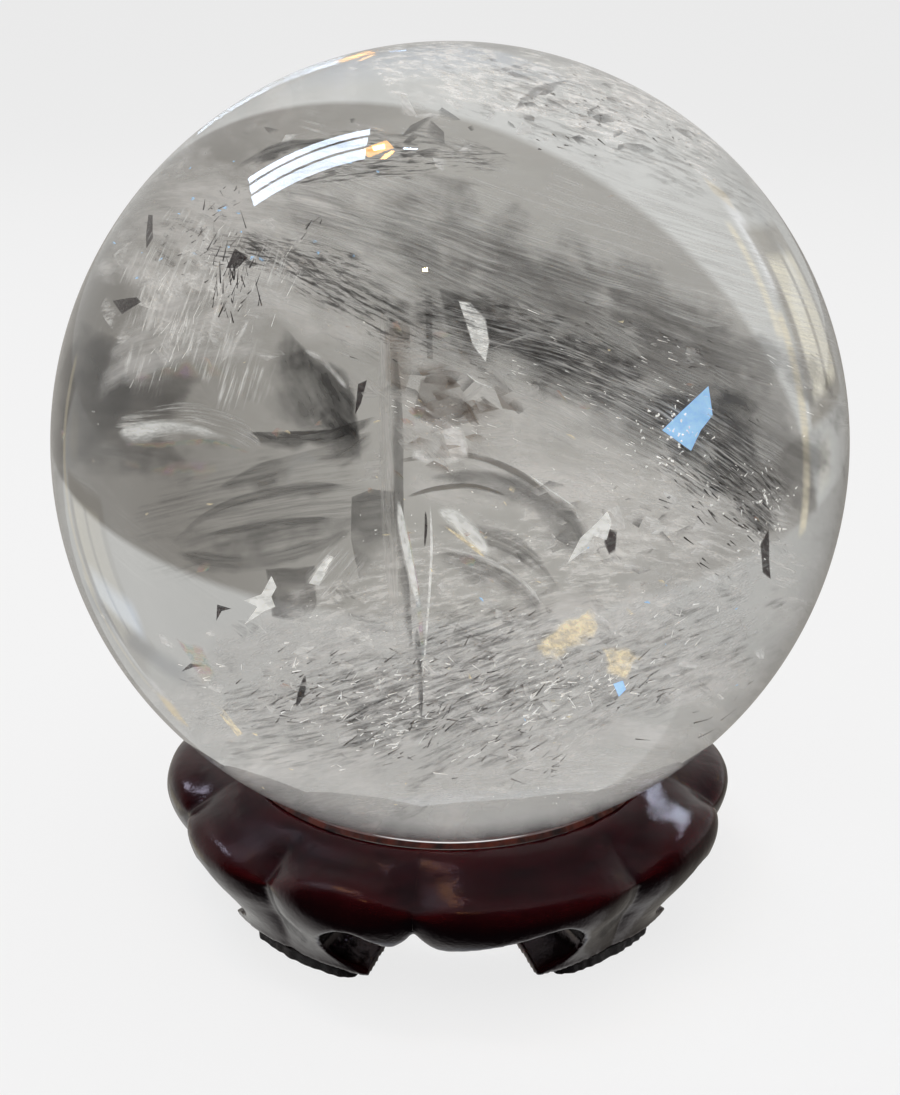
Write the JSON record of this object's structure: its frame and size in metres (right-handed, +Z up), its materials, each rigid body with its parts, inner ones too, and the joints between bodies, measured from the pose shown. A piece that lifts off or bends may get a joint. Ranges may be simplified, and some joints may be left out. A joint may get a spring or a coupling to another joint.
{
  "type": "crystal ball",
  "caption": "Clear quartz ball resting in a low carved hardwood ring stand with petal lobes and felt-padded feet.",
  "frame": {"origin": "on the resting plane under the centre of the ball, which is also the stand's middle", "axes": "+Z up through the ball, -Y towards the viewer, +X to the viewer's right"},
  "size_m": [0.15, 0.15, 0.165],
  "materials": {
    "quartz": "polished",
    "liner_leather": "matte",
    "rosewood": "gloss",
    "dowel_wood": "matte",
    "pad_felt": "matte"
  },
  "bodies": {
    "stand": {"ring_sector_1": "rosewood", "ring_sector_2": "rosewood", "ring_sector_3": "rosewood", "ring_sector_4": "rosewood", "ring_sector_5": "rosewood", "joint_dowel_1": "dowel_wood", "joint_dowel_2": "dowel_wood", "joint_dowel_3": "dowel_wood", "joint_dowel_4": "dowel_wood", "joint_dowel_5": "dowel_wood", "foot_pad_1": "pad_felt", "foot_pad_2": "pad_felt", "foot_pad_3": "pad_felt", "foot_pad_4": "pad_felt", "foot_pad_5": "pad_felt"},
    "liner": {"seat_liner": "liner_leather"},
    "ball": {"crystal_ball": "quartz"}
  },
  "joints": [
    {"name": "ball_turn", "type": "hinge", "parent": "stand", "child": "liner", "pos_m": [0, 0, 0.09], "axis": [0, 0, 1], "continuous": true},
    {"name": "ball_lift", "type": "slide", "parent": "liner", "child": "ball", "axis": [0, 0, 1], "range_m": [0, 0.08]}
  ]
}
